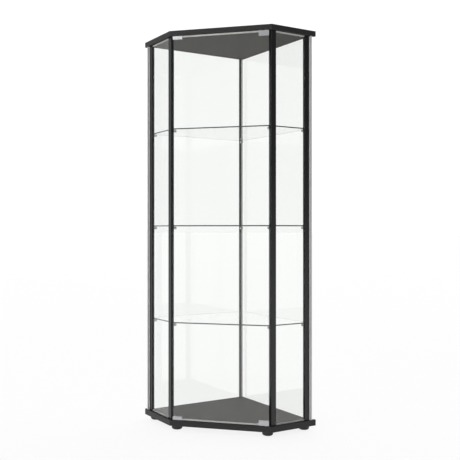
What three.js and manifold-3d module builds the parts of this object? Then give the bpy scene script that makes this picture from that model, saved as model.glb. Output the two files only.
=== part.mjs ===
// Corner curio cabinet: two black board panels joined by five slim metal posts, with glass walls,
// glass side returns, a pivot-hinged glass door, three glass shelves on pegs and five round feet.
// Millimetres, +Z up, front towards -Y. The origin is on the floor, at the centre of the outline.
import * as THREE from 'three';
import * as BufferGeometryUtils from 'three/addons/utils/BufferGeometryUtils.js';
import Module from 'manifold-3d';

const wasm = await Module();
wasm.setup();

// ---------------------------------------------------------------- driving dimensions
const WIDTH = 792;             // across the two side tips
const FRONT = 454;             // length of the front edge
const TOTAL_HEIGHT = 1760;
const FOOT_HEIGHT = 20;
const TOP_THICKNESS = 23;
const BASE_THICKNESS = 26;
const REAR_SETBACK = 20;       // rear edges of the panels stand this far inside the side tips
const TIP_THICKNESS = 12;      // of the scribe tips that reach back past the rear edges
const GAP = 0.3;               // between touching pieces

const GLASS = 5;
const WALL_GLASS_OFFSET = 22.6;  // outer face of a wall pane, from the side tip along the return
const WALL_GLASS_END = 2.4;      // free end of a wall pane, from the return's edge
const PANE_GROOVE = 4;           // depth of the grooves that hold the fixed panes
const PANE_BUTT = 0.5;           // between the left wall pane's end and the right wall pane
const SIDE_GLASS_OFFSET = 13.6;  // outer face of a side pane, from the return's edge

const POST = { inset: 9.6, thick: 15, wide: 25.8, slotDeep: 6 };
const REAR_SIDE_POST = 28.4;     // near face of the side posts, from the side tip
const FRONT_POST = 2.8;          // near face of the front posts, from the front corner
const BACK_POST = { fromRight: 9.5, fromLeft: 0.4, wide: 11, thick: 8, pegPlace: 7 };

const SHELF_CENTRES = [472.5, 901.5, 1330.5];
const SHELF = { side: 25.2, front: 21.5, wall: 30, cornerCut: 27.5 };
const PEG = { shank: 2.9, shankR: 2.5, holeR: 2.8, holeDeep: 3.2, edge: 6.5 };
const SLEEVE = { start: 1, r: 6.5, end: 13.5, pegEnd: 15 };

const FOOT = { r: 24, flatR: 15, edgeR: 9, studR: 4, stud: 17 };
const FOOT_PLACE = { fromCorner: 24.6, fromFront: 35.5, sideInward: 39.5, sideAlong: 36, rear: 24 };
const INSERT = { outer: 7, inner: 4.3, height: 20 };

const DOOR = { inset: 4.6, gap: 3.2, leftMargin: 13.5, rightMargin: 14 };
const CLIP = { wide: 44, leaf: 2, web: 1.6, hinge: 22, strike: 15 };
const PIVOT = { fromEdge: 13, pinR: 2.5, holeR: 2.8, inBush: 8.2, offGlass: 0.5 };
const BUSH = { outer: 6, height: 9, holeDeep: 9.6 };
const LATCH = { wide: 40, deep: 14, tall: 8, setback: 16, backWall: 1.5 };
const PLUNGER = { r: 2.6, boreR: 3, long: 14.8 };
const STRIP = { skin: 0.8, web: 1, leg: 4.5, wallLeg: 6.8 };

// ---------------------------------------------------------------- derived places
const ROOT_HALF = Math.SQRT1_2;
const RETURN = (WIDTH - FRONT) * ROOT_HALF;
const WALL = WIDTH * ROOT_HALF;
const HALF = WIDTH / 2;
const FRONT_DEPTH = (WIDTH - FRONT) / 2;
const REAR_DEPTH = HALF - REAR_SETBACK * Math.SQRT2;
const TIP_Y = (FRONT_DEPTH - REAR_DEPTH) / 2;
const FRONT_Y = TIP_Y - FRONT_DEPTH;
const DECK_Z = FOOT_HEIGHT + BASE_THICKNESS;
const CEILING_Z = TOTAL_HEIGHT - TOP_THICKNESS;
const WALL_INNER = WALL_GLASS_OFFSET + GLASS;
const INNER_CORNER_Y = TIP_Y + HALF - WALL_INNER * Math.SQRT2;
const DOOR_LEFT = -FRONT / 2 + DOOR.leftMargin;
const DOOR_RIGHT = FRONT / 2 - DOOR.rightMargin;
const DOOR_BOTTOM = DECK_Z + DOOR.gap;
const DOOR_TOP = CEILING_Z - DOOR.gap;
const DOOR_FRONT_Y = FRONT_Y + DOOR.inset;
const DOOR_BACK_Y = DOOR_FRONT_Y + GLASS;
const PIVOT_X = DOOR_RIGHT - PIVOT.fromEdge;
const PIVOT_Y = DOOR_FRONT_Y + GLASS / 2;

// A point in a side's own frame. inward runs from the return's edge into the cabinet, parallel to
// that side's wall; along runs from the side tip towards the front corner. side is 1 right, -1 left.
function sidePoint(side, inward, along) {
  const x = HALF - (inward + along) * ROOT_HALF;
  const y = TIP_Y + (inward - along) * ROOT_HALF;
  return new THREE.Vector2(side * x, y);
}

// A point measured from the inner corner of the two wall panes, along each of them.
function cornerPoint(fromRight, fromLeft) {
  const x = (fromLeft - fromRight) * ROOT_HALF;
  return new THREE.Vector2(x, INNER_CORNER_Y - (fromLeft + fromRight) * ROOT_HALF);
}

// ---------------------------------------------------------------- finishes
const finish = (color, roughness, metalness, opacity = 1) =>
  new THREE.MeshStandardMaterial({ color, roughness, metalness, opacity, transparent: opacity < 1 });

const materials = {
  board: () => finish(0x1c1c1c, 0.45, 0),
  post: () => finish(0x1a1a1b, 0.4, 0.3),
  glass: () => finish(0xdfe8e4, 0.05, 0, 0.3),
  chrome: () => finish(0xd8d8d8, 0.12, 1),
  steel: () => finish(0x8a8a88, 0.35, 1),
  brass: () => finish(0xb39a5a, 0.35, 1),
  plastic: () => finish(0x151515, 0.5, 0),
  nylon: () => finish(0xe2e0d8, 0.5, 0),
  vinyl: () => finish(0xc9cac6, 0.4, 0, 0.6),
};

// ---------------------------------------------------------------- solids
const group = new THREE.Group();

function addPart(name, geometry, material) {
  const mesh = new THREE.Mesh(geometry, materials[material]());
  mesh.name = name;
  group.add(mesh);
  return mesh;
}

// Upright prism over a plan outline given as Vector2 points.
function prism(points, low, high) {
  const area = THREE.ShapeUtils.area(points);
  const ordered = area > 0 ? points : [...points].reverse();
  const geometry = new THREE.ExtrudeGeometry(new THREE.Shape(ordered), {
    depth: high - low, bevelEnabled: false, steps: 1,
  });
  return geometry.translate(0, 0, low);
}

function box(lowX, highX, lowY, highY, lowZ, highZ) {
  const geometry = new THREE.BoxGeometry(highX - lowX, highY - lowY, highZ - lowZ);
  return geometry.translate((lowX + highX) / 2, (lowY + highY) / 2, (lowZ + highZ) / 2);
}

// Upright cylinder between two heights.
function rod(x, y, radius, low, high, segments = 20) {
  const geometry = new THREE.CylinderGeometry(radius, radius, high - low, segments);
  return geometry.rotateX(Math.PI / 2).translate(x, y, (low + high) / 2);
}

// Solid of revolution about the +Z line through x, y; outline is a list of [radius, height].
function turned(outline, segments) {
  const points = outline.map(([r, z]) => new THREE.Vector2(r, z));
  return new THREE.LatheGeometry(points, segments).rotateX(Math.PI / 2);
}

function toSolid(geometry) {
  const bare = geometry.clone();
  bare.deleteAttribute('normal');
  bare.deleteAttribute('uv');
  const merged = BufferGeometryUtils.mergeVertices(bare, 1e-4);
  const vertProperties = new Float32Array(merged.attributes.position.array);
  const triVerts = new Uint32Array(merged.index.array);
  return new wasm.Manifold(new wasm.Mesh({ numProp: 3, vertProperties, triVerts }));
}

function toGeometry(solid) {
  const mesh = solid.getMesh();
  const geometry = new THREE.BufferGeometry();
  geometry.setAttribute('position', new THREE.BufferAttribute(mesh.vertProperties, 3));
  geometry.setIndex(new THREE.BufferAttribute(mesh.triVerts, 1));
  geometry.computeVertexNormals();
  return geometry;
}

function cut(body, cutters) {
  return toGeometry(cutters.reduce((solid, tool) => solid.subtract(toSolid(tool)), toSolid(body)));
}

// Upright prism over a rectangle in a side's own frame.
function sideBlock(side, inward, along, low, high) {
  const corners = [[0, 0], [1, 0], [1, 1], [0, 1]];
  return prism(corners.map(([i, j]) => sidePoint(side, inward[i], along[j])), low, high);
}

// ---------------------------------------------------------------- panels
const SIDES = { left: -1, right: 1 };

function panelOutline() {
  const half = (side) => [
    new THREE.Vector2(side * FRONT / 2, FRONT_Y),
    sidePoint(side, 0, 0),
    sidePoint(side, TIP_THICKNESS, 0),
    sidePoint(side, TIP_THICKNESS, REAR_SETBACK),
  ];
  const rear = new THREE.Vector2(0, TIP_Y + REAR_DEPTH);
  return [...half(1), rear, ...half(-1).reverse()];
}

// Where the five feet stand: under both front corners, both side corners and the rear corner.
const footPlaces = {
  front_left: new THREE.Vector2(FOOT_PLACE.fromCorner - FRONT / 2, FRONT_Y + FOOT_PLACE.fromFront),
  front_right: new THREE.Vector2(FRONT / 2 - FOOT_PLACE.fromCorner, FRONT_Y + FOOT_PLACE.fromFront),
  left: sidePoint(-1, FOOT_PLACE.sideInward, FOOT_PLACE.sideAlong),
  right: sidePoint(1, FOOT_PLACE.sideInward, FOOT_PLACE.sideAlong),
  back: cornerPoint(FOOT_PLACE.rear, FOOT_PLACE.rear),
};

const wallRun = (side) => WALL - (side > 0 ? WALL_GLASS_OFFSET : WALL_INNER + PANE_BUTT);

// Grooves for the two wall panes, cut grooveDeep into a face that lies at height z.
function paneGrooves(low, high) {
  return Object.values(SIDES).map((side) => sideBlock(side,
    [WALL_GLASS_END - GAP, wallRun(side) + GAP],
    [WALL_GLASS_OFFSET - GAP, WALL_INNER + GAP], low, high));
}

const topPanel = cut(prism(panelOutline(), CEILING_Z, TOTAL_HEIGHT), [
  ...paneGrooves(CEILING_Z - 1, CEILING_Z + PANE_GROOVE + GAP),
  rod(PIVOT_X, PIVOT_Y, BUSH.outer + GAP, CEILING_Z - 1, CEILING_Z + BUSH.holeDeep),
]);
addPart('top_panel', topPanel, 'board');

const basePanel = cut(prism(panelOutline(), FOOT_HEIGHT, DECK_Z), [
  ...paneGrooves(DECK_Z - PANE_GROOVE - GAP, DECK_Z + 1),
  rod(PIVOT_X, PIVOT_Y, BUSH.outer + GAP, DECK_Z - BUSH.holeDeep, DECK_Z + 1),
  ...Object.values(footPlaces).map((p) =>
    rod(p.x, p.y, INSERT.outer + GAP, FOOT_HEIGHT - 1, FOOT_HEIGHT + INSERT.height + GAP)),
]);
addPart('base_panel', basePanel, 'board');

// ---------------------------------------------------------------- posts and shelf pegs
const pegDrop = GLASS / 2 + GAP + SLEEVE.r;
const pegHeights = SHELF_CENTRES.map((z) => z - pegDrop);
const LEVELS = ['lower', 'middle', 'upper'];

// Solid of revolution laid along a level direction that leaves the plan point at.
function laidAlong(geometry, at, direction, z) {
  const turn = Math.atan2(direction.y, direction.x);
  return geometry.rotateY(Math.PI / 2).rotateZ(turn).translate(at.x, at.y, z);
}

const pegOutline = [
  [0, -PEG.shank], [PEG.shankR, -PEG.shank], [PEG.shankR, SLEEVE.start], [SLEEVE.r, SLEEVE.start],
  [SLEEVE.r, SLEEVE.end], [PEG.shankR, SLEEVE.pegEnd], [0, SLEEVE.pegEnd],
];

// A post with three peg holes in the face at the point at, and the pegs that stand in them.
function peggedPost(name, body, at, direction) {
  const holes = pegHeights.map((z) => laidAlong(
    turned([[0, -PEG.holeDeep], [PEG.holeR, -PEG.holeDeep], [PEG.holeR, 1], [0, 1]], 12),
    at, direction, z));
  addPart(`post_${name}`, cut(body, holes), 'post');
  pegHeights.forEach((z, i) => {
    addPart(`shelf_peg_${LEVELS[i]}_${name}`,
      laidAlong(turned(pegOutline, 14), at, direction, z), 'steel');
  });
}

const postLow = DECK_Z + GAP;
const postHigh = CEILING_Z - GAP;
const postInward = [POST.inset, POST.inset + POST.thick];
const slotInward = [SIDE_GLASS_OFFSET - GAP, SIDE_GLASS_OFFSET + GLASS + GAP];
const rearPostAlong = [REAR_SIDE_POST, REAR_SIDE_POST + POST.wide];
const frontPostAlong = [RETURN - FRONT_POST - POST.wide, RETURN - FRONT_POST];

for (const [name, side] of Object.entries(SIDES)) {
  const inwardDirection = new THREE.Vector2(-side, 1).normalize();
  const rearSlot = [rearPostAlong[1] - POST.slotDeep, rearPostAlong[1] + 1];
  const frontSlot = [frontPostAlong[0] - 1, frontPostAlong[0] + POST.slotDeep];
  const rearPost = cut(sideBlock(side, postInward, rearPostAlong, postLow, postHigh),
    [sideBlock(side, slotInward, rearSlot, postLow - 1, postHigh + 1)]);
  const frontPost = cut(sideBlock(side, postInward, frontPostAlong, postLow, postHigh),
    [sideBlock(side, slotInward, frontSlot, postLow - 1, postHigh + 1)]);
  peggedPost(name, rearPost, sidePoint(side, postInward[1], rearPostAlong[1] - PEG.edge),
    inwardDirection);
  peggedPost(`front_${name}`, frontPost, sidePoint(side, postInward[1], frontPostAlong[1] - PEG.edge),
    inwardDirection);
}

const backRight = [BACK_POST.fromRight, BACK_POST.fromRight + BACK_POST.wide];
const backLeft = [BACK_POST.fromLeft, BACK_POST.fromLeft + BACK_POST.thick];
const backBody = prism([
  cornerPoint(backRight[0], backLeft[0]), cornerPoint(backRight[1], backLeft[0]),
  cornerPoint(backRight[1], backLeft[1]), cornerPoint(backRight[0], backLeft[1]),
], postLow, postHigh);
peggedPost('back', backBody, cornerPoint(BACK_POST.fromRight + BACK_POST.pegPlace, backLeft[1]),
  new THREE.Vector2(1, -1).normalize());

// ---------------------------------------------------------------- fixed glass
const underPane = STRIP.web + 2 * GAP;
const sideGlassAlong = [
  rearPostAlong[1] - POST.slotDeep + GAP, frontPostAlong[0] + POST.slotDeep - GAP,
];

for (const [name, side] of Object.entries(SIDES)) {
  addPart(`wall_glass_${name}`, sideBlock(side, [WALL_GLASS_END, wallRun(side)],
    [WALL_GLASS_OFFSET, WALL_INNER], DECK_Z - PANE_GROOVE, CEILING_Z + PANE_GROOVE), 'glass');

  addPart(`side_glass_${name}`, sideBlock(side, [SIDE_GLASS_OFFSET, SIDE_GLASS_OFFSET + GLASS],
    sideGlassAlong, DECK_Z + underPane, CEILING_Z - underPane), 'glass');
}

// ---------------------------------------------------------------- glazing strips
// Channel section, open towards +second: legs either side of a pane that is GLASS thick.
function channelOutline(middle, web, open, toPoint) {
  const outer = GLASS / 2 + GAP + STRIP.skin;
  const inner = GLASS / 2 + GAP;
  const way = Math.sign(open - web);
  const floor = web + way * STRIP.web;
  return [[-outer, web], [outer, web], [outer, open], [inner, open],
    [inner, floor], [-inner, floor], [-inner, open], [-outer, open]]
    .map(([a, b]) => toPoint(middle + a, b));
}

for (const [name, side] of Object.entries(SIDES)) {
  const wallMiddle = WALL_GLASS_OFFSET + GLASS / 2;
  const webEnd = WALL_GLASS_END - GAP - STRIP.web;
  addPart(`wall_edge_strip_${name}`, prism(channelOutline(wallMiddle, webEnd,
    WALL_GLASS_END + STRIP.wallLeg, (along, inward) => sidePoint(side, inward, along)),
  DECK_Z + GAP, CEILING_Z - GAP), 'vinyl');
}

// A level channel along a run: the section is drawn upright, then laid along the run.
function levelChannel(start, end, web, open) {
  const run = end.clone().sub(start);
  const section = channelOutline(0, web, open, (a, z) => new THREE.Vector2(a, z));
  const geometry = prism(section, 0, run.length());
  geometry.rotateX(Math.PI / 2).rotateZ(Math.PI / 2);
  return geometry.rotateZ(Math.atan2(run.y, run.x)).translate(start.x, start.y, 0);
}

const stripLegs = STRIP.web + GAP + STRIP.leg;
const LEVEL_ENDS = {
  lower: [DECK_Z + GAP, DECK_Z + GAP + stripLegs],
  upper: [CEILING_Z - GAP, CEILING_Z - GAP - stripLegs],
};
for (const [name, side] of Object.entries(SIDES)) {
  const middle = SIDE_GLASS_OFFSET + GLASS / 2;
  for (const [level, [web, open]] of Object.entries(LEVEL_ENDS)) {
    const from = sidePoint(side, middle, rearPostAlong[1] + GAP);
    const to = sidePoint(side, middle, frontPostAlong[0] - GAP);
    addPart(`side_strip_${level}_${name}`, levelChannel(from, to, web, open), 'vinyl');
  }
}

// ---------------------------------------------------------------- shelves
function shelfOutline() {
  const frontAlong = SHELF.side + (FRONT_DEPTH - SHELF.front) * Math.SQRT2;
  const fromWall = SHELF.wall - WALL_INNER;
  const half = (side) => [
    sidePoint(side, SHELF.side, frontAlong),
    sidePoint(side, SHELF.side, SHELF.wall),
    side > 0 ? cornerPoint(fromWall, SHELF.cornerCut) : cornerPoint(SHELF.cornerCut, fromWall),
  ];
  return [...half(1), ...half(-1).reverse()];
}

SHELF_CENTRES.forEach((z, i) => {
  addPart(`shelf_${LEVELS[i]}`, prism(shelfOutline(), z - GLASS / 2, z + GLASS / 2), 'glass');
});

// ---------------------------------------------------------------- door
// Door fittings come in pairs. Each level gives the glass edge, the way out past it, and the
// panel face that the fitting works against.
const DOOR_LEVELS = {
  upper: { edge: DOOR_TOP, way: 1, face: CEILING_Z },
  lower: { edge: DOOR_BOTTOM, way: -1, face: DECK_Z },
};
const span = (a, b) => [Math.min(a, b), Math.max(a, b)];

addPart('door_glass', box(DOOR_LEFT, DOOR_RIGHT, DOOR_FRONT_Y, DOOR_BACK_Y, DOOR_BOTTOM, DOOR_TOP),
  'glass');

// U-shaped clip over the glass edge: two leaves and a web, with a pin hole in a hinge clip.
function doorClip({ edge, way }, startX, height, withPinHole) {
  const webOut = edge + way * (GAP + CLIP.web);
  const body = box(startX, startX + CLIP.wide, DOOR_FRONT_Y - GAP - CLIP.leaf,
    DOOR_BACK_Y + GAP + CLIP.leaf, ...span(webOut, webOut - way * height));
  const cutters = [box(startX - 1, startX + CLIP.wide + 1, DOOR_FRONT_Y - GAP, DOOR_BACK_Y + GAP,
    ...span(edge + way * GAP, webOut - way * (height + 1)))];
  if (withPinHole) {
    cutters.push(rod(PIVOT_X, PIVOT_Y, PIVOT.holeR, ...span(edge - way, webOut + way)));
  }
  return cut(body, cutters);
}

for (const [level, place] of Object.entries(DOOR_LEVELS)) {
  const { edge, way, face } = place;
  addPart(`hinge_clip_${level}`, doorClip(place, DOOR_RIGHT - CLIP.wide, CLIP.hinge, true), 'chrome');
  addPart(`strike_clip_${level}`, doorClip(place, DOOR_LEFT, CLIP.strike, false), 'chrome');

  addPart(`hinge_pin_${level}`, rod(PIVOT_X, PIVOT_Y, PIVOT.pinR,
    ...span(edge + way * PIVOT.offGlass, face + way * PIVOT.inBush)), 'steel');
  const [low, high] = span(face, face + way * BUSH.height);
  const bush = turned([[PIVOT.holeR, low], [BUSH.outer, low], [BUSH.outer, high],
    [PIVOT.holeR, high], [PIVOT.holeR, low]], 20);
  addPart(`hinge_bush_${level}`, bush.translate(PIVOT_X, PIVOT_Y, 0), 'nylon');

  const stripStart = new THREE.Vector2(DOOR_LEFT + CLIP.wide + GAP, PIVOT_Y);
  const stripEnd = new THREE.Vector2(DOOR_RIGHT - CLIP.wide - GAP, PIVOT_Y);
  addPart(`door_strip_${level}`, levelChannel(stripStart, stripEnd,
    edge + way * (GAP + STRIP.web), edge - way * STRIP.leg), 'vinyl');
}

// ---------------------------------------------------------------- touch latches
const latchX = DOOR_LEFT + CLIP.wide / 2;
const plungerTipY = DOOR_BACK_Y + CLIP.leaf + 2 * GAP;
const alongY = (radius, startY, endY, z, segments) =>
  new THREE.CylinderGeometry(radius, radius, endY - startY, segments)
    .translate(latchX, (startY + endY) / 2, z);

for (const [level, { way, face }] of Object.entries(DOOR_LEVELS)) {
  const near = face - way * GAP;
  const middle = near - way * LATCH.tall / 2;
  const frontFaceY = FRONT_Y + LATCH.setback;
  const backFaceY = frontFaceY + LATCH.deep;
  const body = box(latchX - LATCH.wide / 2, latchX + LATCH.wide / 2, frontFaceY, backFaceY,
    ...span(near, near - way * LATCH.tall));
  const bore = alongY(PLUNGER.boreR, frontFaceY - 1, backFaceY - LATCH.backWall, middle, 16);
  addPart(`latch_body_${level}`, cut(body, [bore]), 'plastic');
  addPart(`latch_plunger_${level}`,
    alongY(PLUNGER.r, plungerTipY, plungerTipY + PLUNGER.long, middle, 16), 'steel');
}

// ---------------------------------------------------------------- feet
const ARC_STEPS = 4;

function footOutline() {
  const top = FOOT_HEIGHT - GAP;
  const outline = [[0, 0], [FOOT.flatR, 0]];
  for (let i = 1; i <= ARC_STEPS; i += 1) {
    const turn = (i / ARC_STEPS) * Math.PI / 2;
    outline.push([FOOT.r - FOOT.edgeR * (1 - Math.sin(turn)), FOOT.edgeR * (1 - Math.cos(turn))]);
  }
  outline.push([FOOT.r, top], [FOOT.studR, top], [FOOT.studR, top + FOOT.stud], [0, top + FOOT.stud]);
  return outline;
}

for (const [name, place] of Object.entries(footPlaces)) {
  addPart(`foot_${name}`, turned(footOutline(), 24).translate(place.x, place.y, 0), 'plastic');
  const low = FOOT_HEIGHT;
  const high = FOOT_HEIGHT + INSERT.height;
  const insert = turned([[INSERT.inner, low], [INSERT.outer, low], [INSERT.outer, high],
    [INSERT.inner, high], [INSERT.inner, low]], 16);
  addPart(`foot_insert_${name}`, insert.translate(place.x, place.y, 0), 'brass');
}

export default group;
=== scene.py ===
from math import cos, pi, radians, sin

import bmesh
import bpy
from bpy.props import FloatProperty, FloatVectorProperty, IntProperty, PointerProperty
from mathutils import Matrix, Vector


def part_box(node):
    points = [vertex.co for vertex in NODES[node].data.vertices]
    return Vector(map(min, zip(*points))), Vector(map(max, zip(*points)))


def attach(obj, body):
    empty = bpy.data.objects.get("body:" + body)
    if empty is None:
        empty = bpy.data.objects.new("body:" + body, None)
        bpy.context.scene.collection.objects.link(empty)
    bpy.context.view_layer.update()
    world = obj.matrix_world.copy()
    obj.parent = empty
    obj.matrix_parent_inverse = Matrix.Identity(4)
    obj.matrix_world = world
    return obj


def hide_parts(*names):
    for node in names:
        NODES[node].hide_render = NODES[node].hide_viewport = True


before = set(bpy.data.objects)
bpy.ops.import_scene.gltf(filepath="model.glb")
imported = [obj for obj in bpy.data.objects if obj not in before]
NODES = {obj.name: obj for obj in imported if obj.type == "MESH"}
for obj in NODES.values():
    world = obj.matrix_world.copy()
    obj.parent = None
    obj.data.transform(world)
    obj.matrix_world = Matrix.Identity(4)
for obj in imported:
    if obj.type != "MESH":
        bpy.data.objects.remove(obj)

bl_info = {
    "name": "Corner Curio Cabinet",
    "version": (1, 0, 0),
    "blender": (4, 5, 0),
    "location": "View3D > Sidebar > Cabinet",
    "description": "Builds the finished pieces of a glass corner cabinet around its CAD frame",
    "category": "Object",
}

MM = 0.001
SIDES = {"left": -1, "right": 1}
LEVELS = ("lower", "middle", "upper")
ENDS = {"lower": -1, "upper": 1}
CORNERS = ("front_left", "front_right", "left", "right", "back")
CABINET = "cabinet"
DOOR = "door"
WELD = 0.01 * MM
SHARP = radians(25)
POST_CLEARANCE = 1 * MM
SCREW_PROUD = 0.3 * MM
RIM = 0.4 * MM


# ---------------------------------------------------------------- colours and nodes
def linear(hex_colour):
    """Linear RGBA of an sRGB hex colour."""
    channels = [int(hex_colour[i:i + 2], 16) / 255 for i in (1, 3, 5)]
    return tuple(c / 12.92 if c <= 0.04045 else ((c + 0.055) / 1.055) ** 2.4 for c in channels) + (1.0,)


def add_node(tree, kind, inputs=None, **settings):
    """Adds a node, sets its settings, and gives each input its value or its link."""
    node = tree.nodes.new(kind)
    for key, value in settings.items():
        setattr(node, key, value)
    for key, value in (inputs or {}).items():
        if isinstance(value, bpy.types.NodeSocket):
            tree.links.new(value, node.inputs[key])
        else:
            node.inputs[key].default_value = value
    return node


def colour_property(name, description, hex_colour):
    return FloatVectorProperty(name=name, description=description, subtype="COLOR", size=4,
                               min=0.0, max=1.0, default=linear(hex_colour))


def length_property(name, description, millimetres):
    return FloatProperty(name=name, description=description, default=millimetres * MM,
                         min=0.0, precision=5, subtype="DISTANCE", unit="LENGTH")


class CurioSizes(bpy.types.PropertyGroup):
    """Sizes of the finished edges and of the small fittings."""
    board_ease: length_property("Board edge radius", "Rounding of the boards' banded edges", 1.2)
    post_round: length_property("Post corner radius", "Rounding of the posts' long corners", 1.2)
    arris: length_property("Glass arris", "Width of the ground bevel on every glass edge", 0.7)
    shelf_corner: length_property("Shelf corner radius", "Rounding of the shelves' corners", 5.0)
    clip_ease: length_property("Clip edge radius", "Rounding of the door clips' edges", 0.6)
    strip_ease: length_property("Strip edge radius", "Rounding of the glazing strips' edges", 0.2)
    latch_ease: length_property("Latch edge radius", "Rounding of the latch bodies' edges", 0.8)
    pin: length_property("Peg pin radius", "Radius of the steel pin in a shelf peg", 2.5)
    sleeve: length_property("Peg sleeve radius", "Radius of the clear sleeve on a shelf peg", 6.5)
    foot: length_property("Foot radius", "Radius of a levelling foot", 24.0)
    sole: length_property("Foot sole radius", "Radius of the flat under a levelling foot", 15.0)
    pad: length_property("Foot pad radius", "Radius of the felt pad let into the sole", 13.5)
    flute: length_property("Foot flute depth", "Depth of the grip flutes round a levelling foot", 0.5)
    flutes: IntProperty(name="Foot flutes", description="Grip flutes round a levelling foot",
                        default=24, min=3, max=60)
    cap: length_property("Cover cap radius", "Radius of a screw's cover cap", 6.0)
    cap_rise: length_property("Cover cap rise", "How far a cover cap stands off its board", 0.8)
    bead: length_property("Corner bead", "Width of the silicone bead in the glass corner", 3.0)
    gasket: length_property("Gasket width", "Width of the seal along a wall pane's foot and head", 1.6)


class CurioColours(bpy.types.PropertyGroup):
    """Colours of the finishes."""
    board: colour_property("Board", "Melamine face of the boards", "#2e2b27")
    band: colour_property("Edge band", "Edge band of the boards", "#1b1a1a")
    post: colour_property("Post", "Powder coat of the posts", "#070707")
    glass: colour_property("Glass", "Tint of the float glass, seen through its faces", "#fdfefd")
    edge: colour_property("Glass edge", "Body colour of the glass, seen along its edges", "#26352e")
    strip: colour_property("Glazing strip", "Grey glazing strips", "#dcddd9")
    chrome: colour_property("Chrome", "Chrome plate of the door clips", "#b4b5b6")
    plastic: colour_property("Plastic", "Feet, latches, caps and seals", "#151515")


# ---------------------------------------------------------------- finishes
def new_finish(name):
    material = bpy.data.materials.new(name)
    material.use_nodes = True
    material.node_tree.nodes.clear()
    return material


def grained(material, dark, light, grain_mm, rough, relief_mm, **fixed):
    """Principled shader whose colour, roughness and relief all follow one noise of the given grain."""
    tree = material.node_tree
    place = add_node(tree, "ShaderNodeTexCoord")
    grain = add_node(tree, "ShaderNodeTexNoise", {
        "Vector": place.outputs["Object"], "Scale": 1 / (grain_mm * MM), "Detail": 4.0, "Roughness": 0.6})
    colour = add_node(tree, "ShaderNodeMixRGB", {
        "Fac": grain.outputs["Fac"], "Color1": dark, "Color2": light})
    roughness = add_node(tree, "ShaderNodeMapRange", {
        "Value": grain.outputs["Fac"], "To Min": rough[0], "To Max": rough[1]})
    relief = add_node(tree, "ShaderNodeBump", {
        "Height": grain.outputs["Fac"], "Strength": 1.0, "Distance": relief_mm * MM})
    shader = add_node(tree, "ShaderNodeBsdfPrincipled", {
        "Base Color": colour.outputs["Color"], "Roughness": roughness.outputs["Result"],
        "Normal": relief.outputs["Normal"], **fixed})
    return shader


def show(material, shader):
    output = add_node(material.node_tree, "ShaderNodeOutputMaterial")
    material.node_tree.links.new(shader.outputs[0], output.inputs["Surface"])
    return material


def scaled(colour, factor):
    return tuple(min(c * factor, 1.0) for c in colour[:3]) + (1.0,)


def satin_melamine(colours):
    # Melamine foil pressed against a satin plate: an even black whose low pearl breaks up reflections.
    # The pearl of the real foil is about 0.3 mm, drawn here at 3 mm so that it shows.
    material = new_finish("satin_black_melamine")
    board = tuple(colours.board)
    return show(material, grained(material, scaled(board, 0.85), scaled(board, 1.2), grain_mm=3.0,
                                  rough=(0.58, 0.66), relief_mm=0.002, IOR=1.45,
                                  **{"Specular IOR Level": 0.2}))


def edge_band(colours):
    # ABS edge band, milled flush and buffed: a little darker and glossier than the foil.
    material = new_finish("black_abs_edge_band")
    band = tuple(colours.band)
    return show(material, grained(material, scaled(band, 0.85), scaled(band, 1.2), grain_mm=2.0,
                                  rough=(0.4, 0.5), relief_mm=0.004, IOR=1.42))


def powder_coat(colours):
    # Baked polyester powder on steel: orange peel about 2 mm across that softens the highlights.
    material = new_finish("black_powder_coat")
    post = tuple(colours.post)
    return show(material, grained(material, scaled(post, 0.8), scaled(post, 1.25), grain_mm=2.0,
                                  rough=(0.22, 0.3), relief_mm=0.006, IOR=1.5))


def float_glass(colours):
    # Clear soda-lime float glass: a faint green cast that drifts a little over the pane, and a
    # second shader that lets the lamps' light through to what stands behind.
    material = new_finish("clear_float_glass")
    tree = material.node_tree
    place = add_node(tree, "ShaderNodeTexCoord")
    drift = add_node(tree, "ShaderNodeTexNoise", {
        "Vector": place.outputs["Object"], "Scale": 1 / (400 * MM), "Detail": 1.0})
    tint = add_node(tree, "ShaderNodeMixRGB", {
        "Fac": drift.outputs["Fac"], "Color1": scaled(colours.glass, 0.995),
        "Color2": tuple(colours.glass)})
    glass = add_node(tree, "ShaderNodeBsdfPrincipled", {
        "Base Color": tint.outputs["Color"], "Roughness": 0.0, "IOR": 1.52,
        "Transmission Weight": 1.0})
    clear = add_node(tree, "ShaderNodeBsdfTransparent", {"Color": scaled(colours.glass, 0.97)})
    ray = add_node(tree, "ShaderNodeLightPath")
    return show(material, add_node(tree, "ShaderNodeMixShader", {
        0: ray.outputs["Is Shadow Ray"], 1: glass.outputs[0], 2: clear.outputs[0]}))


def ground_edge(colours):
    # Ground and polished glass edge: the green body of the glass, dark because it is seen lengthways.
    material = new_finish("polished_glass_edge")
    edge = tuple(colours.edge)
    return show(material, grained(material, scaled(edge, 0.8), scaled(edge, 1.2), grain_mm=6.0,
                                  rough=(0.08, 0.16), relief_mm=0.001, IOR=1.52))


def glazing_vinyl(colours):
    # Extruded soft PVC: grey and half translucent, with faint lengthways bands from the die.
    material = new_finish("grey_glazing_vinyl")
    strip = tuple(colours.strip)
    return show(material, grained(material, scaled(strip, 0.92), scaled(strip, 1.06), grain_mm=5.0,
                                  rough=(0.28, 0.4), relief_mm=0.002, IOR=1.53,
                                  **{"Transmission Weight": 0.35}))


def clear_vinyl():
    # Clear PVC tube on the shelf pegs: soft gloss, slightly milky.
    material = new_finish("clear_pvc_sleeve")
    return show(material, grained(material, linear("#dfe3e1"), linear("#f0f2f1"), grain_mm=3.0,
                                  rough=(0.1, 0.14), relief_mm=0.001, IOR=1.53,
                                  **{"Transmission Weight": 0.85}))


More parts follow.
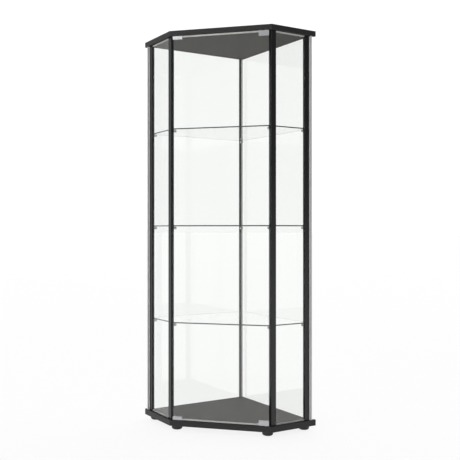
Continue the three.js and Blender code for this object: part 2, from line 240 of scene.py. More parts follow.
def chrome_plate(colours):
    # Chrome over nickel on a stamped steel clip: mirror bright, with fine polishing haze.
    material = new_finish("polished_chrome_plate")
    chrome = tuple(colours.chrome)
    return show(material, grained(material, scaled(chrome, 0.95), scaled(chrome, 1.04), grain_mm=1.5,
                                  rough=(0.26, 0.3), relief_mm=0.001, Metallic=1.0))


def nickel_steel():
    # Turned steel with a thin nickel plate: duller and warmer than chrome.
    material = new_finish("nickel_plated_steel")
    return show(material, grained(material, linear("#a5a29b"), linear("#bab7b0"), grain_mm=0.8,
                                  rough=(0.25, 0.36), relief_mm=0.002, Metallic=1.0))


def turned_brass():
    # Free-cutting brass, left as turned: yellow, with the lathe's fine marks.
    material = new_finish("turned_brass")
    return show(material, grained(material, linear("#a98f4e"), linear("#c4a962"), grain_mm=0.6,
                                  rough=(0.28, 0.4), relief_mm=0.003, Metallic=1.0))


def moulded_nylon():
    # Natural nylon, moulded: milky white with a waxy sheen.
    material = new_finish("natural_nylon")
    return show(material, grained(material, linear("#dcd9cf"), linear("#ebe8df"), grain_mm=1.2,
                                  rough=(0.35, 0.45), relief_mm=0.002, IOR=1.53,
                                  **{"Subsurface Weight": 0.1}))


def moulded_plastic(colours):
    # Polypropylene moulded in a spark-eroded tool: black with a fine matt texture.
    material = new_finish("moulded_black_polypropylene")
    plastic = tuple(colours.plastic)
    return show(material, grained(material, scaled(plastic, 0.8), scaled(plastic, 1.35), grain_mm=1.4,
                                  rough=(0.42, 0.56), relief_mm=0.02, IOR=1.49))


def wool_felt():
    # Pressed felt pad: dark grey fibres, quite matt.
    material = new_finish("grey_pressed_felt")
    return show(material, grained(material, linear("#3a3a3b"), linear("#636364"), grain_mm=0.8,
                                  rough=(0.9, 1.0), relief_mm=0.15, IOR=1.45, **{"Sheen Weight": 0.4}))


def rubber_seal():
    # EPDM gasket: deep black and matt, with a little bloom.
    material = new_finish("black_epdm_gasket")
    return show(material, grained(material, linear("#101010"), linear("#1c1c1c"), grain_mm=1.5,
                                  rough=(0.6, 0.75), relief_mm=0.01, IOR=1.52))


def silicone_bead():
    # Neutral-cure silicone, tooled wet: clear with a slight haze.
    material = new_finish("clear_silicone")
    return show(material, grained(material, linear("#dde2df"), linear("#eef1ef"), grain_mm=8.0,
                                  rough=(0.1, 0.14), relief_mm=0.003, IOR=1.41,
                                  **{"Transmission Weight": 0.8}))


# ---------------------------------------------------------------- mesh code
def node_mesh(node):
    """Welded copy of a CAD node's mesh, with its flat faces in one piece."""
    bm = bmesh.new()
    bm.from_mesh(NODES[node].data)
    bmesh.ops.remove_doubles(bm, verts=bm.verts, dist=WELD)
    bmesh.ops.dissolve_limit(bm, angle_limit=radians(1), verts=bm.verts, edges=bm.edges)
    for face in bm.faces:
        face.smooth = False
    return bm


def ease(bm, width, segments, wanted):
    """Rounds the wanted edges. The new faces are smooth, the rest stays flat."""
    edges = [e for e in bm.edges if len(e.link_faces) == 2 and e.calc_face_angle() > SHARP and wanted(e)]
    made = bmesh.ops.bevel(bm, geom=edges, offset=width, segments=segments, profile=0.5,
                           affect="EDGES", clamp_overlap=True)
    for face in made["faces"]:
        face.smooth = True


def every(edge):
    return True


def finish_piece(name, bm, materials, body, replaced=()):
    """Turns a bmesh into a piece that rides on a body and stands for the replaced CAD nodes."""
    mesh = bpy.data.meshes.new(name)
    bm.to_mesh(mesh)
    bm.free()
    piece = bpy.data.objects.new(name, mesh)
    bpy.context.scene.collection.objects.link(piece)
    for material in materials:
        mesh.materials.append(material)
    return declare(piece, body, replaced)


def declare(piece, body, replaced=()):
    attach(piece, body)
    if replaced:
        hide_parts(*replaced)
    return piece


def lathe(bm, profile, steps, centre, flute=None):
    """Spins a closed [radius, height] profile about the upright line through centre."""
    rings = []
    for radius, height in profile:
        if radius < WELD:
            rings.append([bm.verts.new(centre + Vector((0, 0, height)))])
            continue
        ring = []
        for i in range(steps):
            turn = 2 * pi * i / steps
            r = radius - (flute(turn, radius, height) if flute else 0)
            ring.append(bm.verts.new(centre + Vector((r * cos(turn), r * sin(turn), height))))
        rings.append(ring)
    closed = len(rings[0]) > 1
    pairs = list(zip(rings, rings[1:])) + ([(rings[-1], rings[0])] if closed else [])
    for low, high in pairs:
        for i in range(steps):
            j = (i + 1) % steps
            corners = [low[i % len(low)], low[j % len(low)], high[j % len(high)], high[i % len(high)]]
            unique = [v for k, v in enumerate(corners) if v not in corners[:k]]
            bm.faces.new(unique)
    for face in bm.faces:
        face.smooth = True
    bmesh.ops.recalc_face_normals(bm, faces=bm.faces)
    return bm


def soften(piece, angle=35):
    """Keeps a turned piece's edges crisp where they meet at more than the angle."""
    piece.data.set_sharp_from_angle(angle=radians(angle))
    return piece


def arc(centre_r, centre_z, radius, start, end, steps):
    """Profile points on an arc, angles in degrees from +radius towards +height."""
    turns = [radians(start + (end - start) * i / steps) for i in range(steps + 1)]
    return [(centre_r + radius * cos(t), centre_z + radius * sin(t)) for t in turns]


def prism(bm, outline, low, high):
    """Upright closed prism over a plan outline."""
    rings = [[bm.verts.new((x, y, z)) for x, y in outline] for z in (low, high)]
    count = len(outline)
    for i in range(count):
        j = (i + 1) % count
        bm.faces.new((rings[0][i], rings[0][j], rings[1][j], rings[1][i]))
    bm.faces.new(list(reversed(rings[0])))
    bm.faces.new(rings[1])
    bmesh.ops.recalc_face_normals(bm, faces=bm.faces)
    return bm


def middle(node):
    low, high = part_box(node)
    return (low + high) / 2


def in_plan(node):
    """A node's middle, dropped to the floor."""
    return middle(node) * Vector((1, 1, 0))


def half_width(node):
    low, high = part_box(node)
    return (high.x - low.x) / 2


def furthest(node, direction):
    """How far a node reaches along a direction, from the origin."""
    return max(v.co.dot(direction) for v in NODES[node].data.vertices)


def axis_ends(node, direction):
    """First and last point of a turned node's axis, which runs along direction."""
    points = [v.co for v in NODES[node].data.vertices]
    along = [p.dot(direction) for p in points]
    ends = []
    for limit in (min(along), max(along)):
        ring = [p for p, a in zip(points, along) if abs(a - limit) < WELD]
        low = Vector([min(p[k] for p in ring) for k in range(3)])
        high = Vector([max(p[k] for p in ring) for k in range(3)])
        ends.append((low + high) / 2)
    return ends


# ---------------------------------------------------------------- geometry node trees
def new_tree(name, sockets):
    tree = bpy.data.node_groups.new(name, "GeometryNodeTree")
    tree.interface.new_socket("Geometry", in_out="INPUT", socket_type="NodeSocketGeometry")
    for label, kind in sockets:
        tree.interface.new_socket(label, in_out="INPUT", socket_type=kind)
    tree.interface.new_socket("Geometry", in_out="OUTPUT", socket_type="NodeSocketGeometry")
    return tree, add_node(tree, "NodeGroupInput"), add_node(tree, "NodeGroupOutput")


def close_tree(tree, geometry, given, output):
    """Realizes the instances and gives everything the finish."""
    real = add_node(tree, "GeometryNodeRealizeInstances", {"Geometry": geometry})
    done = add_node(tree, "GeometryNodeSetMaterial", {
        "Geometry": real.outputs["Geometry"], "Material": given.outputs["Finish"]})
    tree.links.new(done.outputs["Geometry"], output.inputs["Geometry"])
    return tree


def turned_tree():
    """Turns every polyline of the input into a solid whose radius is stored on its points."""
    tree, given, output = new_tree("turned_on_a_path", [
        ("Sides", "NodeSocketInt"), ("Thickness", "NodeSocketFloat"), ("Finish", "NodeSocketMaterial")])
    radius = add_node(tree, "GeometryNodeInputNamedAttribute", {"Name": "radius"}, data_type="FLOAT")
    scale = add_node(tree, "ShaderNodeMath", {
        0: radius.outputs["Attribute"], 1: given.outputs["Thickness"]}, operation="MULTIPLY")
    path = add_node(tree, "GeometryNodeMeshToCurve", {"Mesh": given.outputs["Geometry"]})
    section = add_node(tree, "GeometryNodeCurvePrimitiveCircle", {
        "Resolution": given.outputs["Sides"], "Radius": 1.0})
    solid = add_node(tree, "GeometryNodeCurveToMesh", {
        "Curve": path.outputs["Curve"], "Profile Curve": section.outputs["Curve"],
        "Scale": scale.outputs[0], "Fill Caps": True})
    return close_tree(tree, solid.outputs["Mesh"], given, output)


def screw_tree():
    """Sets a flat round screw head with a hexagon socket on every point, facing its direction."""
    tree, given, output = new_tree("socket_screw_heads", [
        ("Head Radius", "NodeSocketFloat"), ("Head Depth", "NodeSocketFloat"),
        ("Socket Radius", "NodeSocketFloat"), ("Finish", "NodeSocketMaterial")])
    half = add_node(tree, "ShaderNodeMath", {0: given.outputs["Head Depth"], 1: 0.5}, operation="MULTIPLY")
    head = add_node(tree, "GeometryNodeMeshCylinder", {
        "Vertices": 28, "Radius": given.outputs["Head Radius"], "Depth": given.outputs["Head Depth"]})
    socket = add_node(tree, "GeometryNodeMeshCylinder", {
        "Vertices": 6, "Radius": given.outputs["Socket Radius"], "Depth": given.outputs["Head Depth"]})
    rise = add_node(tree, "ShaderNodeCombineXYZ", {"Z": half.outputs[0]})
    lifted = add_node(tree, "GeometryNodeTransform", {
        "Geometry": socket.outputs["Mesh"], "Translation": rise.outputs["Vector"]})
    bored = add_node(tree, "GeometryNodeMeshBoolean", {
        "Mesh 1": head.outputs["Mesh"], "Mesh 2": lifted.outputs["Geometry"]}, operation="DIFFERENCE")
    facing = add_node(tree, "GeometryNodeInputNamedAttribute", {"Name": "facing"},
                      data_type="FLOAT_VECTOR")
    turn = add_node(tree, "FunctionNodeAlignRotationToVector", {"Vector": facing.outputs["Attribute"]},
                    axis="Z")
    heads = add_node(tree, "GeometryNodeInstanceOnPoints", {
        "Points": given.outputs["Geometry"], "Instance": bored.outputs["Mesh"],
        "Rotation": turn.outputs["Rotation"]})
    return close_tree(tree, heads.outputs["Instances"], given, output)


def grown(name, host, tree, values):
    """Runs a tree on a host mesh and returns the result as a plain mesh object."""
    seed = bpy.data.objects.new(name + "_host", host)
    bpy.context.scene.collection.objects.link(seed)
    modifier = seed.modifiers.new("grow", "NODES")
    modifier.node_group = tree
    for item in tree.interface.items_tree:
        if item.in_out == "INPUT" and item.name in values:
            modifier[item.identifier] = values[item.name]
    evaluated = seed.evaluated_get(bpy.context.evaluated_depsgraph_get())
    mesh = bpy.data.meshes.new_from_object(evaluated)
    mesh.name = name
    seed.modifiers.remove(modifier)
    bpy.data.objects.remove(seed)
    if not mesh.polygons:
        raise RuntimeError(f"{name} came out empty")
    mesh.shade_smooth()
    piece = bpy.data.objects.new(name, mesh)
    bpy.context.scene.collection.objects.link(piece)
    return soften(piece)


def path_host(name, paths):
    """Polylines with a radius on every point. Each path is a list of (point, radius)."""
    mesh = bpy.data.meshes.new(name)
    points, radii, edges = [], [], []
    for path in paths:
        first = len(points)
        points += [point for point, _ in path]
        radii += [radius for _, radius in path]
        edges += [(first + i, first + i + 1) for i in range(len(path) - 1)]
    mesh.from_pydata(points, edges, [])
    mesh.attributes.new("radius", "FLOAT", "POINT").data.foreach_set("value", radii)
    return mesh


def point_host(name, places):
    """Loose points, each with the direction that it faces."""
    mesh = bpy.data.meshes.new(name)
    mesh.from_pydata([place for place, _ in places], [], [])
    facing = mesh.attributes.new("facing", "FLOAT_VECTOR", "POINT")
    facing.data.foreach_set("vector", [c for _, direction in places for c in direction])
    return mesh


def turned_pieces(name, paths, sides, material):
    return grown(name, path_host(name, paths), turned_tree(),
                 {"Sides": sides, "Thickness": 1.0, "Finish": material})


def screw_heads(name, places, radius, depth, socket, material):
    return grown(name, point_host(name, places), screw_tree(), {
        "Head Radius": radius, "Head Depth": depth, "Socket Radius": socket, "Finish": material})


def rounded_rod(start, end, radius, round_mm, steps=4):
    """Path of a rod with both rims rounded."""
    way = (end - start).normalized()
    edge = round_mm * MM
    turns = [pi / 2 * i / steps for i in range(steps + 1)]
    rim = [(edge * (1 - sin(t)), radius - edge * (1 - cos(t))) for t in reversed(turns)]
    near = [(start + way * d, r) for d, r in rim]
    far = [(end - way * d, r) for d, r in reversed(rim)]
    return near + far


# ---------------------------------------------------------------- operators
def settings(context):
    return context.scene.curio_sizes, context.scene.curio_colours


class CURIO_OT_stage(bpy.types.Operator):
    """Set up the pale floor, the soft studio light and the camera"""
    bl_idname = "curio.stage"
    bl_label = "Stage"

    FLOOR = 400.0
    CAMERA_PLACE = (0.682, -3.382, 0.885)
    CAMERA_TURN = 14.72
    LENS = 57.58
    SHIFT = (0.088, -0.0011)
    TABLE_GLOW = 0.86
    LEFT_WALL, RIGHT_WALL, BACK_WALL = 0.58, 0.22, 1.08
    # Direction, angles in degrees where the light starts to fall and where it ends, strength.
    LAMPS = (((-0.47, -0.85, 0.25), 5, 9, 12.0),
             ((0.0, 0.0, 1.0), 20, 45, 0.2))

    def execute(self, context):
        scene = context.scene
        scene.view_settings.view_transform = "Standard"
        self.floor()
        self.sky(scene)
        data = bpy.data.cameras.new("studio_camera")
        data.lens, data.shift_x, data.shift_y = self.LENS, *self.SHIFT
        camera = bpy.data.objects.new("studio_camera", data)
        camera.location = self.CAMERA_PLACE
        camera.rotation_euler = (pi / 2, 0, radians(self.CAMERA_TURN))
        scene.collection.objects.link(camera)
        scene.camera = camera
        return {"FINISHED"}

    def floor(self):
        material = new_finish("white_light_table")
        # Opal acrylic lit from below, as product studios use. Its glow makes it white, so that
        # shadows stay faint.
        show(material, grained(material, linear("#6f6f6f"), linear("#727272"), grain_mm=25.0,
                               rough=(0.9, 1.0), relief_mm=0.02,
                               **{"Specular IOR Level": 0.1, "Emission Color": (1.0, 1.0, 1.0, 1.0),
                                  "Emission Strength": self.TABLE_GLOW}))
        mesh = bpy.data.meshes.new("studio_floor")
        reach = self.FLOOR / 2
        corners = [(-reach, -reach, 0), (reach, -reach, 0), (reach, reach, 0), (-reach, reach, 0)]
        mesh.from_pydata(corners, [], [(0, 1, 2, 3)])
        mesh.materials.append(material)
        floor = bpy.data.objects.new("studio_floor", mesh)
        bpy.context.scene.collection.objects.link(floor)

    def sky(self, scene):
        """Studio walls as a sky: white behind, greyer to the left, dark to the right and in front, with
        a small strong lamp at the front left and a broad weak one overhead."""
        world = bpy.data.worlds.new("studio_walls")
        world.use_nodes = True
        tree = world.node_tree
        tree.nodes.clear()
        place = add_node(tree, "ShaderNodeTexCoord")
        way = add_node(tree, "ShaderNodeSeparateXYZ", {0: place.outputs["Generated"]})
        light = add_node(tree, "ShaderNodeMapRange", {
            "Value": way.outputs["X"], "From Min": -0.9, "From Max": 0.9,
            "To Min": self.LEFT_WALL, "To Max": self.RIGHT_WALL}, interpolation_type="SMOOTHSTEP")
        behind = add_node(tree, "ShaderNodeMapRange", {
            "Value": way.outputs["Y"], "From Min": 0.1, "From Max": 0.6, "To Min": 0.0,
            "To Max": self.BACK_WALL}, interpolation_type="SMOOTHSTEP")
        light = add_node(tree, "ShaderNodeMath", {0: light.outputs[0], 1: behind.outputs[0]},
                         operation="MAXIMUM")
        for towards, inner, outer, power in self.LAMPS:
            facing = add_node(tree, "ShaderNodeVectorMath", {
                0: place.outputs["Generated"], 1: Vector(towards).normalized()}, operation="DOT_PRODUCT")
            spot = add_node(tree, "ShaderNodeMapRange", {
                "Value": facing.outputs["Value"], "From Min": cos(radians(outer)),
                "From Max": cos(radians(inner)), "To Min": 0.0, "To Max": power},
                interpolation_type="SMOOTHSTEP")
            light = add_node(tree, "ShaderNodeMath", {0: light.outputs[0], 1: spot.outputs[0]},
                             operation="ADD")
        background = add_node(tree, "ShaderNodeBackground", {
            "Color": (1.0, 1.0, 1.0, 1.0), "Strength": light.outputs[0]})
        output = add_node(tree, "ShaderNodeOutputWorld")
        tree.links.new(background.outputs[0], output.inputs["Surface"])
        scene.world = world


class CURIO_OT_boards(bpy.types.Operator):
    """Make the top and base boards with eased, banded edges"""
    bl_idname = "curio.boards"
    bl_label = "Boards"

    def execute(self, context):
        sizes, colours = settings(context)
        finishes = [satin_melamine(colours), edge_band(colours)]
        outline = {(round(v.co.x / WELD), round(v.co.y / WELD))
                   for v in NODES["top_panel"].data.vertices if v.co.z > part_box("top_panel")[1].z - WELD}

        def on_outline(edge):
            return all((round(v.co.x / WELD), round(v.co.y / WELD)) in outline for v in edge.verts)

        for node, name in (("top_panel", "top_board"), ("base_panel", "base_board")):
            bm = node_mesh(node)
            ease(bm, sizes.board_ease, 4, on_outline)
            for face in bm.faces:
                face.material_index = 1 if abs(face.normal.z) < 0.9 else 0
            finish_piece(name, bm, finishes, CABINET, [node])
        return {"FINISHED"}


class CURIO_OT_posts(bpy.types.Operator):
    """Make the five powder-coated posts with rounded corners"""
    bl_idname = "curio.posts"
    bl_label = "Posts"

    def execute(self, context):
        sizes, colours = settings(context)
        coat = powder_coat(colours)
        for corner in CORNERS:
            bm = node_mesh(f"post_{corner}")
            low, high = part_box(f"post_{corner}")
            tall = (high.z - low.z) / 2
            ease(bm, sizes.post_round, 5, lambda e: e.is_convex and e.calc_length() > tall)
            finish_piece(f"{corner}_post", bm, [coat], CABINET, [f"post_{corner}"])
        return {"FINISHED"}


class CURIO_OT_glass(bpy.types.Operator):
    """Make the wall, side and door panes and the shelves with ground edges"""
    bl_idname = "curio.glass"
    bl_label = "Glass"

    def execute(self, context):
        sizes, colours = settings(context)
        finishes = [float_glass(colours), ground_edge(colours)]
        panes = {f"{kind}_glass_{side}": f"{side}_{kind}_pane"
                 for kind in ("wall", "side") for side in SIDES}
        for node, name in panes.items():
            self.pane(node, name, sizes, finishes, CABINET)
        for level in LEVELS:
            self.pane(f"shelf_{level}", f"{level}_shelf_glass", sizes, finishes, CABINET,
                      sizes.shelf_corner)
        self.pane("door_glass", "door_pane", sizes, finishes, DOOR)
        return {"FINISHED"}

    def pane(self, node, name, sizes, finishes, body, corner=0.0):
        bm = node_mesh(node)
        face = max(bm.faces, key=lambda f: f.calc_area()).normal.copy()
        if corner:
            ease(bm, corner, 8, lambda e: abs((e.verts[0].co - e.verts[1].co).normalized().dot(face)) > 0.9)
        ease(bm, sizes.arris, 2, every)
        for f in bm.faces:
            f.material_index = 0 if abs(f.normal.dot(face)) > 0.95 else 1
        finish_piece(name, bm, finishes, body, [node])


class CURIO_OT_glazing(bpy.types.Operator):
    """Make the glazing strips, the wall panes' gaskets and the corner bead"""
    bl_idname = "curio.glazing"
    bl_label = "Glazing strips and seals"

    GASKET_STEPS = 6
    BEAD_STEPS = 8

    def execute(self, context):
        sizes, colours = settings(context)
        vinyl = glazing_vinyl(colours)
        strips = {f"wall_edge_strip_{side}": (f"{side}_wall_edge_trim", CABINET) for side in SIDES}
        for end in ENDS:
            strips[f"door_strip_{end}"] = (f"{end}_door_trim", DOOR)
            for side in SIDES:
                strips[f"side_strip_{end}_{side}"] = (f"{end}_{side}_side_trim", CABINET)
        for node, (name, body) in strips.items():
            bm = node_mesh(node)
            ease(bm, sizes.strip_ease, 2, every)
            finish_piece(name, bm, [vinyl], body, [node])
        self.gaskets(sizes)
        self.bead(sizes)
        return {"FINISHED"}

    def gaskets(self, sizes):
        """Quarter-round seals where a wall pane's inner face meets the deck and the ceiling."""
        seal = rubber_seal()
        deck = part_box("base_panel")[1].z
        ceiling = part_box("top_panel")[0].z
        section = arc(0, 0, sizes.gasket, 0, 90, self.GASKET_STEPS)
        for side, sign in SIDES.items():
            inward, start, end = inner_line(side, sign)
            for name, z, way in (("lower", deck, 1), ("upper", ceiling, -1)):
                bm = bmesh.new()
                rings = [[bm.verts.new(place + inward * a + Vector((0, 0, z + way * b)))
                          for a, b in [(0, 0)] + section] for place in (start, end)]
                count = len(section) + 1
                for i in range(count):
                    j = (i + 1) % count
                    side_face = bm.faces.new((rings[0][i], rings[0][j], rings[1][j], rings[1][i]))
                    side_face.smooth = 0 < i < count - 1
                for ring in rings:
                    bm.faces.new(ring)
                bmesh.ops.recalc_face_normals(bm, faces=bm.faces)
                finish_piece(f"{name}_{side}_gasket", bm, [seal], CABINET)

    def bead(self, sizes):
        """Concave fillet in the corner between the two wall panes."""
        right, _, corner = inner_line("right", 1)
        left = inner_line("left", -1)[0]
        centre = corner + (right + left) * sizes.bead
        outline = [corner] + [centre - right * a - left * b
                              for a, b in arc(0, 0, sizes.bead, 0, 90, self.BEAD_STEPS)]
        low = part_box("base_panel")[1].z + sizes.gasket
        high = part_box("top_panel")[0].z - sizes.gasket
        bm = prism(bmesh.new(), [(p.x, p.y) for p in outline], low, high)
        finish_piece("corner_silicone_bead", bm, [silicone_bead()], CABINET)


def inner_line(side, sign):
    """A wall pane's inner face in plan: its inward normal, its front end and the corner end."""
    run = Vector((-sign, 1, 0)).normalized()
    inward = Vector((-sign, -1, 0)).normalized()
    other_inward = Vector((sign, -1, 0)).normalized()
    other = "left" if side == "right" else "right"
    depth = furthest(f"wall_glass_{side}", inward)
    front = max(-furthest(f"wall_glass_{side}", -run), furthest(f"post_{side}", run) + POST_CLEARANCE)
    return (inward, run * front + inward * depth,
            run * -furthest(f"wall_glass_{other}", other_inward) + inward * depth)


class CURIO_OT_door_fittings(bpy.types.Operator):
    """Make the chrome door clips, their grub screws, the pivot pins and the bushes"""
    bl_idname = "curio.door_fittings"
    bl_label = "Door fittings"

    SCREW_SHARES = (0.22, 0.78)
    # Head radius, head depth and socket radius.
    GRUB_SCREW = (2.2 * MM, 1.2 * MM, 1.1 * MM)
    PIN_ROUND = 0.5
    RUNNING_GAP = 0.3 * MM

    def execute(self, context):
        sizes, colours = settings(context)
        chrome = chrome_plate(colours)
        steel = nickel_steel()
        nylon = moulded_nylon()
        screws = []
        for end in ENDS:
            for kind in ("hinge", "strike"):
                node = f"{kind}_clip_{end}"
                bm = node_mesh(node)
                ease(bm, sizes.clip_ease, 3, every)
                finish_piece(f"{end}_{kind}_clip", bm, [chrome], DOOR, [node])
                low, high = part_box(node)
                for share in self.SCREW_SHARES:
                    place = Vector((low.x + (high.x - low.x) * share, high.y + SCREW_PROUD, middle(node).z))
                    screws.append((place, Vector((0, 1, 0))))
            pin = f"hinge_pin_{end}"
            path = rounded_rod(*axis_ends(pin, Vector((0, 0, 1))), half_width(pin), self.PIN_ROUND)
            declare(turned_pieces(f"{end}_pivot_pin", [path], 40, steel), DOOR, [pin])
            self.bush(end, nylon)
        declare(screw_heads("clip_grub_screws", screws, *self.GRUB_SCREW, steel), DOOR)
        return {"FINISHED"}

    def bush(self, end, nylon):
        """Flat-ended nylon ring with both rims chamfered, a running gap wider than the pin."""
        node = f"hinge_bush_{end}"
        low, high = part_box(node)
        outer = half_width(node)
        inner = half_width(f"hinge_pin_{end}") + self.RUNNING_GAP
        profile = [(inner, low.z + RIM), (inner + RIM, low.z), (outer - RIM, low.z),
                   (outer, low.z + RIM), (outer, high.z - RIM), (outer - RIM, high.z),
                   (inner + RIM, high.z), (inner, high.z - RIM)]
        bm = lathe(bmesh.new(), profile, 48, in_plan(node))
        soften(finish_piece(f"{end}_pivot_bush", bm, [nylon], CABINET, [node]))


class CURIO_OT_shelf_pegs(bpy.types.Operator):
    """Make the shelf pegs: steel pins in clear sleeves"""
    bl_idname = "curio.shelf_pegs"
    bl_label = "Shelf pegs"

    WAYS = {"left": (1, 1), "front_left": (1, 1), "right": (-1, 1), "front_right": (-1, 1), "back": (1, -1)}
    # Along the pin, from its root in the post: where the shank leaves the post, and the sleeve's ends.
    SHANK = 2.9 * MM
    SLEEVE = (1.0 * MM, 13.5 * MM)
    PIN_ROUND = 0.8
    SLEEVE_ROUND = 1.2

    def execute(self, context):
        sizes, _ = settings(context)
        steel = nickel_steel()
        sleeve = clear_vinyl()
        for level in LEVELS:
            pins, sleeves, nodes = [], [], []
            for corner, (x, y) in self.WAYS.items():
                node = f"shelf_peg_{level}_{corner}"
                way = Vector((x, y, 0)).normalized()
                start, end = axis_ends(node, way)
                pins.append(rounded_rod(start, end, sizes.pin, self.PIN_ROUND))
                near, far = (start + way * (self.SHANK + reach) for reach in self.SLEEVE)
                sleeves.append(rounded_rod(near, far, sizes.sleeve, self.SLEEVE_ROUND))
                nodes.append(node)
            declare(turned_pieces(f"{level}_peg_pins", pins, 24, steel), CABINET, nodes)
            declare(turned_pieces(f"{level}_peg_sleeves", sleeves, 28, sleeve), CABINET)
        return {"FINISHED"}


class CURIO_OT_latches(bpy.types.Operator):
    """Make the touch latches, their fixing screws and their plungers"""
    bl_idname = "curio.latches"
    bl_label = "Touch latches"

    SCREW_SHARES = (0.15, 0.85)
    # Head radius, head depth and socket radius.
    FIXING_SCREW = (3.0 * MM, 1.2 * MM, 1.4 * MM)
    # Edges shorter than this are the bore's facets and stay as they are.
    SHORT_EDGE = 3 * MM
    PLUNGER_ROUND = 0.9

    def execute(self, context):
        sizes, colours = settings(context)
        plastic = moulded_plastic(colours)
        steel = nickel_steel()
        screws = []
        for end, sign in ENDS.items():
            node = f"latch_body_{end}"
            bm = node_mesh(node)
            ease(bm, sizes.latch_ease, 3, lambda e: e.calc_length() > self.SHORT_EDGE)
            finish_piece(f"{end}_latch_body", bm, [plastic], CABINET, [node])
            low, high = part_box(node)
            z = (low.z if sign > 0 else high.z) - sign * SCREW_PROUD
            for share in self.SCREW_SHARES:
                x = low.x + (high.x - low.x) * share
                screws.append((Vector((x, middle(node).y, z)), Vector((0, 0, -sign))))
            plunger = f"latch_plunger_{end}"
            path = rounded_rod(*axis_ends(plunger, Vector((0, 1, 0))), half_width(plunger),
                               self.PLUNGER_ROUND)
            declare(turned_pieces(f"{end}_latch_plunger", [path], 32, steel), f"plunger_{end}",
                    [plunger])
        declare(screw_heads("latch_screws", screws, *self.FIXING_SCREW, steel), CABINET)
        return {"FINISHED"}


class CURIO_OT_feet(bpy.types.Operator):
    """Make the levelling feet, their felt pads and their brass inserts"""
    bl_idname = "curio.feet"
    bl_label = "Levelling feet"

    # Depth and pitch of the stud's thread, and how much slimmer the stud is than its insert.
    THREAD = 0.5 * MM
    PITCH = 1.25 * MM
    STUD_INSET = 3.0 * MM
    PAD = 1.2 * MM
    PAD_GAP = 0.1 * MM
    PAD_MARGIN = 0.2 * MM
    SHOULDER = 1.2 * MM
    BOARD_GAP = 0.3 * MM

    def execute(self, context):
        sizes, colours = settings(context)
        plastic = moulded_plastic(colours)
        felt = wool_felt()
        brass = turned_brass()
        for corner in CORNERS:
            node = f"foot_{corner}"
            self.foot(corner, node, sizes, plastic)
            profile = [(0, 0), (sizes.pad - RIM, 0), (sizes.pad, RIM), (sizes.pad, self.PAD), (0, self.PAD)]
            bm = lathe(bmesh.new(), profile, 48, in_plan(node))
            soften(finish_piece(f"{corner}_foot_pad", bm, [felt], node))
            insert = NODES[f"foot_insert_{corner}"].data.materials
            insert.clear()
            insert.append(brass)
        return {"FINISHED"}

    def foot(self, corner, node, sizes, plastic):
        """Round foot with a bull-nosed sole, grip flutes and a threaded stud."""
        insert = f"foot_insert_{corner}"
        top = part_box(node)[1].z
        base_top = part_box("base_panel")[0].z - self.BOARD_GAP
        edge = sizes.foot - sizes.sole
        well = sizes.pad + self.PAD_MARGIN
        crest = half_width(insert) - self.STUD_INSET
        root = crest - self.THREAD
        profile = [(0, self.PAD + self.PAD_GAP), (well, self.PAD + self.PAD_GAP), (well, 0.0)]
        profile += arc(sizes.sole, edge, edge, -90, 0, 10)
        profile += arc(sizes.foot - self.SHOULDER, base_top - self.SHOULDER, self.SHOULDER, 0, 90, 5)
        for i in range(int((top - base_top) / self.PITCH)):
            z = base_top + i * self.PITCH
            profile += [(root, z), (crest, z + self.PITCH / 2)]
        profile += [(root, top), (0, top)]

        def flute(turn, radius, height):
            fluted = radius > sizes.foot - WELD and edge - WELD < height < base_top - self.SHOULDER + WELD
            return sizes.flute * (0.5 - 0.5 * cos(turn * sizes.flutes)) if fluted else 0.0

        bm = lathe(bmesh.new(), profile, sizes.flutes * 6, in_plan(node), flute)
        soften(finish_piece(f"{corner}_foot", bm, [plastic], node, [node]))


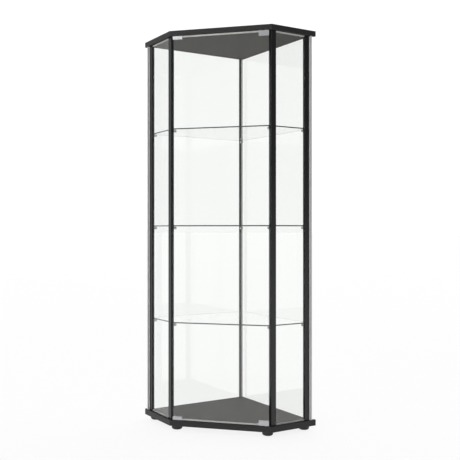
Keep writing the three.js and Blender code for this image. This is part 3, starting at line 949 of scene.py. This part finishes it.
class CURIO_OT_cover_caps(bpy.types.Operator):
    """Make the caps that cover the post screws above and below"""
    bl_idname = "curio.cover_caps"
    bl_label = "Cover caps"

    # A cap's section stops short of a full quarter turn, which leaves a flat on its crown.
    DOME = pi / 2 * 0.9
    DOME_STEPS = 5

    def execute(self, context):
        sizes, colours = settings(context)
        plastic = moulded_plastic(colours)
        faces = ((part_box("top_panel")[1].z, 1), (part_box("base_panel")[0].z, -1))
        turns = [self.DOME * i / self.DOME_STEPS for i in range(self.DOME_STEPS + 1)]
        paths = []
        for corner in CORNERS:
            place = in_plan(f"post_{corner}")
            paths += [[(place + Vector((0, 0, z + way * sizes.cap_rise * sin(t))),
                        sizes.cap * cos(t) ** 0.5) for t in turns] for z, way in faces]
        declare(turned_pieces("screw_cover_caps", paths, 36, plastic), CABINET)
        return {"FINISHED"}


class CURIO_PT_cabinet(bpy.types.Panel):
    """Sizes, colours and build steps of the curio cabinet"""
    bl_idname = "CURIO_PT_cabinet"
    bl_label = "Corner Curio Cabinet"
    bl_space_type = "VIEW_3D"
    bl_region_type = "UI"
    bl_category = "Cabinet"

    def draw(self, context):
        layout = self.layout
        for group in (context.scene.curio_sizes, context.scene.curio_colours):
            box = layout.box()
            for key in group.__annotations__:
                box.prop(group, key)
        for operator in STEPS:
            layout.operator(operator.bl_idname)


STEPS = (CURIO_OT_stage, CURIO_OT_boards, CURIO_OT_posts, CURIO_OT_glass, CURIO_OT_glazing,
         CURIO_OT_door_fittings, CURIO_OT_shelf_pegs, CURIO_OT_latches, CURIO_OT_feet,
         CURIO_OT_cover_caps)
CLASSES = (CurioSizes, CurioColours, *STEPS, CURIO_PT_cabinet)


def register():
    for cls in CLASSES:
        bpy.utils.register_class(cls)
    bpy.types.Scene.curio_sizes = PointerProperty(type=CurioSizes)
    bpy.types.Scene.curio_colours = PointerProperty(type=CurioColours)


def unregister():
    del bpy.types.Scene.curio_colours
    del bpy.types.Scene.curio_sizes
    for cls in reversed(CLASSES):
        bpy.utils.unregister_class(cls)


def main():
    register()
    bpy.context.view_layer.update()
    bpy.ops.curio.stage()
    bpy.ops.curio.boards()
    bpy.ops.curio.posts()
    bpy.ops.curio.glass()
    bpy.ops.curio.glazing()
    bpy.ops.curio.door_fittings()
    bpy.ops.curio.shelf_pegs()
    bpy.ops.curio.latches()
    bpy.ops.curio.feet()
    bpy.ops.curio.cover_caps()


if __name__ == "__main__":
    main()
